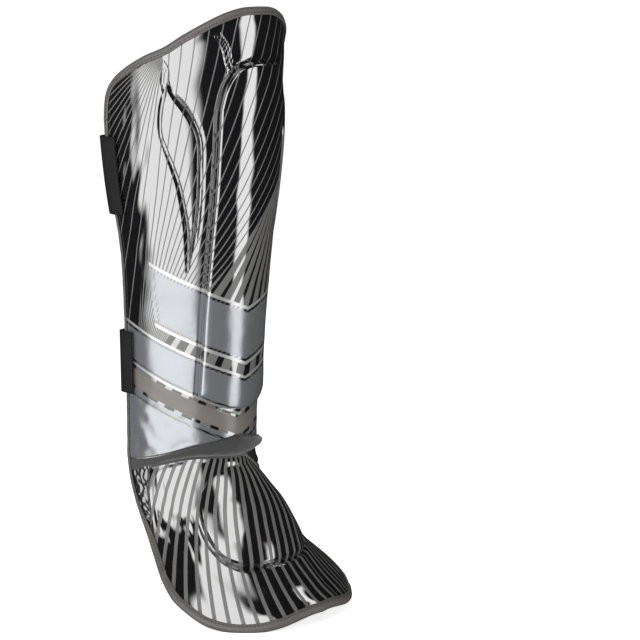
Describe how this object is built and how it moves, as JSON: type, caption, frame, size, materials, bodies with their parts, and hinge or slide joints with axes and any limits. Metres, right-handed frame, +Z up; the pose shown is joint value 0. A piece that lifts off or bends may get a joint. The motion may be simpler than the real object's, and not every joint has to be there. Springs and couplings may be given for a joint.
{
  "type": "shin and instep guard",
  "caption": "Padded shin and instep guard with a raised front ridge, leaf-shaped side pads, a domed instep flap, bound edges and calf straps that close behind the leg.",
  "frame": {"origin": "on the axis of the leg, level with the ankle, where the shin and the instep flap meet", "axes": "+Z up the leg, -Y to the front of the shin and the toes, -X to the wearer's right"},
  "size_m": [0.1821, 0.2092, 0.5287],
  "materials": {
    "printed_vinyl": "gloss coated artificial leather with a printed pattern",
    "pad_vinyl": "gloss coated artificial leather with a printed pattern",
    "gusset_vinyl": "gloss, creased",
    "lip_fabric": "matte brushed knit",
    "binding_tape": "satin woven tape with a stitched line",
    "elastic_webbing": "matte ribbed elastic"
  },
  "bodies": {
    "root": {"shin_shell": "printed_vinyl", "shin_ridge_pad": "pad_vinyl", "side_pad_right": "pad_vinyl", "side_pad_left": "pad_vinyl", "ankle_lip": "lip_fabric", "ankle_gusset_right": "gusset_vinyl", "ankle_gusset_left": "gusset_vinyl", "instep_shell": "printed_vinyl", "instep_dome_pad": "pad_vinyl", "edge_binding": "binding_tape", "calf_strap_upper": "elastic_webbing", "calf_strap_lower": "elastic_webbing"}
  },
  "joints": []
}
